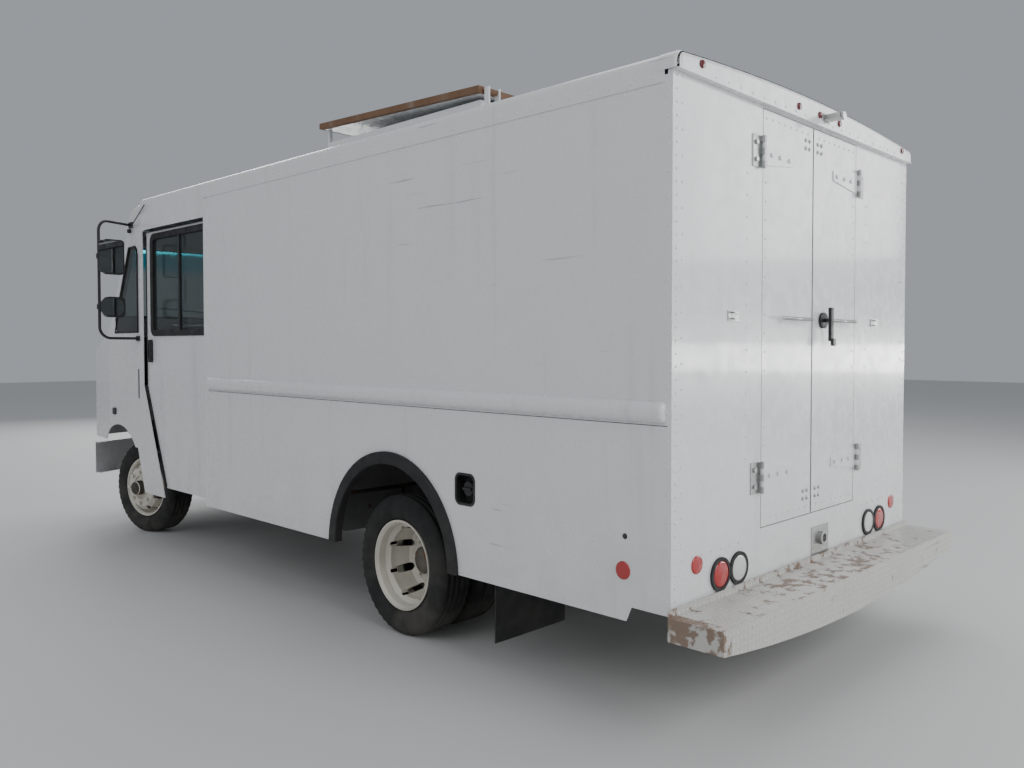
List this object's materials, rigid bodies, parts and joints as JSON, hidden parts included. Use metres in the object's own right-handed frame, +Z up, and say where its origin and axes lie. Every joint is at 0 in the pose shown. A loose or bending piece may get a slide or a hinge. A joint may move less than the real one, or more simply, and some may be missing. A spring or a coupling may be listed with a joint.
{
  "type": "mail delivery truck",
  "caption": "Walk-in delivery truck with a riveted box body, sliding cab doors, hinged rear doors, dual rear wheels and a rear step bumper.",
  "frame": {"origin": "on the ground under the middle of the truck", "axes": "+X forward, +Y to the left (driver) side, +Z up"},
  "size_m": [7.5398, 3.038, 3.1302],
  "materials": {
    "body_paint": "gloss",
    "nose_moulding": "gloss",
    "chassis_black": "satin",
    "tyre": "matt",
    "black_rubber": "matt",
    "black_plastic": "matt",
    "wheel_enamel": "gloss",
    "glass": "clear",
    "lens": "gloss",
    "zinc": "satin",
    "tread_plate": "worn gloss",
    "seat_vinyl": "satin",
    "floor_metal": "satin",
    "cast_metal": "matt",
    "tank_metal": "satin",
    "board": "worn",
    "mirror_shell": "matt"
  },
  "bodies": {
    "chassis": {"aerial": "black_plastic", "arch_flares": "black_rubber", "cab_front": "nose_moulding", "cab_glass": "glass", "chassis_rails": "chassis_black", "cross_members": "chassis_black", "dashboard": "black_plastic", "engine": "cast_metal", "exhaust": "cast_metal", "floor": "floor_metal", "front_axle_beam": "chassis_black", "front_bumper": "body_paint", "fuel_cup": "black_plastic", "fuel_tank": "tank_metal", "hatch_brackets": "body_paint", "hinge_leaves": "zinc", "lamp_grommets": "black_rubber", "lamp_lenses": "lens", "leaf_springs": "chassis_black", "mirror_brackets": "black_plastic", "mud_flaps": "black_rubber", "rear_axle_housing": "cast_metal", "rear_fittings": "zinc", "rear_header": "body_paint", "rear_wall": "body_paint", "roof": "body_paint", "rub_rails": "body_paint", "seat_base": "chassis_black", "side_panel_left": "body_paint", "side_panel_right": "body_paint", "step_bumper": "tread_plate", "transmission": "cast_metal"},
    "side_door_left": {"side_door_left": "body_paint", "door_fittings_left": "black_rubber"},
    "side_door_right": {"side_door_right": "body_paint", "door_fittings_right": "black_rubber"},
    "rear_door_left": {"rear_door_left": "body_paint"},
    "rear_door_right": {"rear_door_right": "body_paint"},
    "latch_handle": {"latch_handle": "black_plastic"},
    "steering_knuckle_left": {"steering_knuckle_left": "cast_metal"},
    "steering_knuckle_right": {"steering_knuckle_right": "cast_metal"},
    "front_wheel_left": {"front_wheel_left": "wheel_enamel", "front_tyre_left": "tyre"},
    "front_wheel_right": {"front_wheel_right": "wheel_enamel", "front_tyre_right": "tyre"},
    "rear_wheels_left": {"rear_wheels_left": "wheel_enamel", "rear_tyres_left": "tyre"},
    "rear_wheels_right": {"rear_wheels_right": "wheel_enamel", "rear_tyres_right": "tyre"},
    "drive_shaft": {"drive_shaft": "chassis_black"},
    "steering_wheel": {"steering_wheel": "black_plastic"},
    "seat": {"seat_frame": "chassis_black", "seat_cushions": "seat_vinyl"},
    "mirror_head_left": {"mirror_head_left": "mirror_shell"},
    "mirror_head_right": {"mirror_head_right": "mirror_shell"},
    "spot_mirror_left": {"spot_mirror_left": "mirror_shell"},
    "spot_mirror_right": {"spot_mirror_right": "mirror_shell"},
    "roof_hatch": {"roof_hatch": "board"},
    "hood": {"hood": "nose_moulding"},
    "fuel_cap": {"fuel_cap": "black_plastic"}
  },
  "joints": [
    {"name": "side_door_left_slide", "type": "slide", "parent": "chassis", "child": "side_door_left", "axis": [-1, 0, 0], "range_m": [0, 0.75]},
    {"name": "side_door_right_slide", "type": "slide", "parent": "chassis", "child": "side_door_right", "axis": [-1, 0, 0], "range_m": [0, 0.75]},
    {"name": "rear_door_left_swing", "type": "hinge", "parent": "chassis", "child": "rear_door_left", "pos_m": [-3.498, 0.52, 1.8], "axis": [0, 0, -1], "range_deg": [0, 170]},
    {"name": "rear_door_right_swing", "type": "hinge", "parent": "chassis", "child": "rear_door_right", "pos_m": [-3.498, -0.52, 1.8], "axis": [0, 0, 1], "range_deg": [0, 170]},
    {"name": "latch_turn", "type": "hinge", "parent": "rear_door_right", "child": "latch_handle", "pos_m": [-3.48, -0.11, 1.815], "axis": [1, 0, 0], "range_deg": [0, 90]},
    {"name": "steer_left", "type": "hinge", "parent": "chassis", "child": "steering_knuckle_left", "pos_m": [2.62, 0.745, 0.4055], "axis": [0, 0, 1], "range_deg": [-45, 19]},
    {"name": "steer_right", "type": "hinge", "parent": "chassis", "child": "steering_knuckle_right", "pos_m": [2.62, -0.745, 0.4055], "axis": [0, 0, 1], "range_deg": [-45, 19]},
    {"name": "front_wheel_left_spin", "type": "hinge", "parent": "steering_knuckle_left", "child": "front_wheel_left", "pos_m": [2.57951, 0.92039, 0.4055], "axis": [-0.225, 0.9744, 0], "continuous": true},
    {"name": "front_wheel_right_spin", "type": "hinge", "parent": "steering_knuckle_right", "child": "front_wheel_right", "pos_m": [2.66049, -0.92039, 0.4055], "axis": [-0.225, 0.9744, 0], "continuous": true},
    {"name": "rear_wheels_left_spin", "type": "hinge", "parent": "chassis", "child": "rear_wheels_left", "pos_m": [-1.48, 1.05, 0.4055], "axis": [0, 1, 0], "continuous": true},
    {"name": "rear_wheels_right_spin", "type": "hinge", "parent": "chassis", "child": "rear_wheels_right", "pos_m": [-1.48, -1.05, 0.4055], "axis": [0, 1, 0], "continuous": true},
    {"name": "drive_shaft_spin", "type": "hinge", "parent": "chassis", "child": "drive_shaft", "pos_m": [-0.48, 0, 0.4155], "axis": [1, 0, 0], "continuous": true},
    {"name": "steering_wheel_turn", "type": "hinge", "parent": "chassis", "child": "steering_wheel", "pos_m": [2.37, 0.6, 1.22], "axis": [-0.6691, 0, 0.7431], "range_deg": [-720, 304]},
    {"name": "seat_slide", "type": "slide", "parent": "chassis", "child": "seat", "axis": [1, 0, 0], "range_m": [-0.08, 0.08]},
    {"name": "mirror_head_left_swivel", "type": "hinge", "parent": "chassis", "child": "mirror_head_left", "pos_m": [2.16, 1.5, 2.4], "axis": [0, 0, 1], "range_deg": [-25, 25]},
    {"name": "spot_mirror_left_swivel", "type": "hinge", "parent": "chassis", "child": "spot_mirror_left", "pos_m": [2.16, 1.5, 1.99], "axis": [0, 0, 1], "range_deg": [-25, 25]},
    {"name": "mirror_head_right_swivel", "type": "hinge", "parent": "chassis", "child": "mirror_head_right", "pos_m": [2.16, -1.5, 2.4], "axis": [0, 0, 1], "range_deg": [-25, 25]},
    {"name": "spot_mirror_right_swivel", "type": "hinge", "parent": "chassis", "child": "spot_mirror_right", "pos_m": [2.16, -1.5, 1.99], "axis": [0, 0, 1], "range_deg": [-25, 25]},
    {"name": "roof_hatch_lift", "type": "hinge", "parent": "chassis", "child": "roof_hatch", "pos_m": [-2.09, 0.7, 3.042], "axis": [0, -1, 0], "range_deg": [0, 60]},
    {"name": "hood_lift", "type": "hinge", "parent": "chassis", "child": "hood", "pos_m": [3.177, 0, 1.712], "axis": [0, -1, 0], "range_deg": [0, 55]},
    {"name": "fuel_cap_turn", "type": "hinge", "parent": "chassis", "child": "fuel_cap", "pos_m": [-2.147, 1.16, 0.93], "axis": [0, 1, 0], "range_deg": [0, 120]}
  ],
  "couplings": [
    {"joint": "steer_right", "follows": "steer_left", "ratio": 1},
    {"joint": "steering_wheel_turn", "follows": "steer_left", "ratio": 16},
    {"joint": "drive_shaft_spin", "follows": "rear_wheels_left_spin", "ratio": 4.1}
  ]
}
